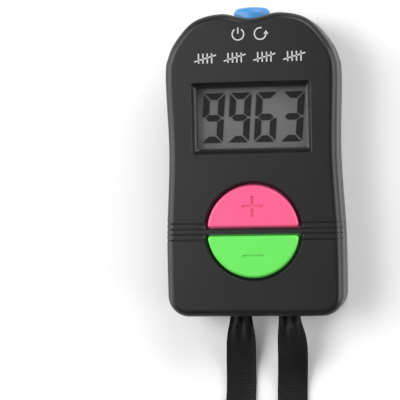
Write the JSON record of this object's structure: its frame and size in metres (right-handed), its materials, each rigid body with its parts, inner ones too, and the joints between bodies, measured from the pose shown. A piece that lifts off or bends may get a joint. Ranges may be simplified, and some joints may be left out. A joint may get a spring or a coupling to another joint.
{
  "type": "hand tally counter",
  "caption": "Pocket electronic tally counter: black two-shell case, segment display, half-round plus and minus buttons, reset button on the end, coin-turn battery door and a flat neck ribbon.",
  "frame": {"origin": "on the resting plane, under the middle of the case with its reset button", "axes": "+X across the case, +Y from the ribbon end to the reset button, +Z out of the display face"},
  "size_m": [0.0458, 0.2327, 0.0157],
  "materials": {
    "case_black": "fine spark-eroded texture, satin",
    "button_pink": "satin moulded colour",
    "button_green": "satin moulded colour",
    "button_blue": "satin moulded colour",
    "switch_body": "matte moulded",
    "frame_white": "natural moulded",
    "window_clear": "clear acrylic",
    "display_film": "satin polarising film",
    "display_glass": "polished",
    "display_reflector": "diffuse grey foil",
    "strip_rubber": "matte, fine conducting layers",
    "board": "solder resist on laminate",
    "capacitor": "matte with tinned ends",
    "steel": "nickel-plated",
    "spring_metal": "tinned spring strip",
    "ribbon": "woven satin",
    "tie": "soft band"
  },
  "bodies": {
    "case": {"front_case": "case_black", "rear_case": "case_black", "display_window": "window_clear", "lcd_polariser": "display_film", "lcd_front_glass": "display_glass", "lcd_rear_glass": "display_glass", "lcd_reflector": "display_reflector", "lcd_frame": "frame_white", "contact_strip_upper": "strip_rubber", "contact_strip_lower": "strip_rubber", "main_board": "board", "counter_chip": "switch_body", "clock_crystal": "steel", "capacitor_left": "capacitor", "capacitor_right": "capacitor", "resistor": "switch_body", "plus_switch_base": "switch_body", "minus_switch_base": "switch_body", "reset_switch_base": "switch_body", "button_cell": "steel", "negative_contact": "spring_metal", "positive_contact": "spring_metal", "case_screw_lower_left": "steel", "case_screw_lower_right": "steel", "case_screw_upper_left": "steel", "case_screw_upper_right": "steel", "board_screw_left": "steel", "board_screw_right": "steel", "ribbon_bar": "steel", "ribbon_strand_right": "ribbon", "ribbon_strand_left": "ribbon", "ribbon_coil": "ribbon", "ribbon_tie": "tie"},
    "plus_key": {"plus_button": "button_pink"},
    "plus_plunger": {"plus_switch_plunger": "frame_white"},
    "minus_key": {"minus_button": "button_green"},
    "minus_plunger": {"minus_switch_plunger": "frame_white"},
    "reset_key": {"reset_button": "button_blue"},
    "reset_plunger": {"reset_switch_plunger": "frame_white"},
    "door": {"battery_door": "case_black"}
  },
  "joints": [
    {"name": "plus_press", "type": "slide", "parent": "case", "child": "plus_key", "axis": [0, 0, -1], "range_m": [0, 0.00055], "stiffness_N_per_m": 1500},
    {"name": "plus_plunger_press", "type": "slide", "parent": "case", "child": "plus_plunger", "axis": [0, 0, -1], "range_m": [0, 0.00025]},
    {"name": "minus_press", "type": "slide", "parent": "case", "child": "minus_key", "axis": [0, 0, -1], "range_m": [0, 0.00055], "stiffness_N_per_m": 1500},
    {"name": "minus_plunger_press", "type": "slide", "parent": "case", "child": "minus_plunger", "axis": [0, 0, -1], "range_m": [0, 0.00025]},
    {"name": "reset_press", "type": "slide", "parent": "case", "child": "reset_key", "axis": [0, -1, 0], "range_m": [0, 0.00055], "stiffness_N_per_m": 1500},
    {"name": "reset_plunger_press", "type": "slide", "parent": "case", "child": "reset_plunger", "axis": [0, -1, 0], "range_m": [0, 0.00025]},
    {"name": "door_turn", "type": "hinge", "parent": "case", "child": "door", "pos_m": [0, -0.0162, 0], "axis": [0, 0, -1], "range_deg": [0, 45]}
  ],
  "couplings": [
    {"joint": "plus_plunger_press", "follows": "plus_press", "ratio": 0.45},
    {"joint": "minus_plunger_press", "follows": "minus_press", "ratio": 0.45},
    {"joint": "reset_plunger_press", "follows": "reset_press", "ratio": 0.45}
  ]
}
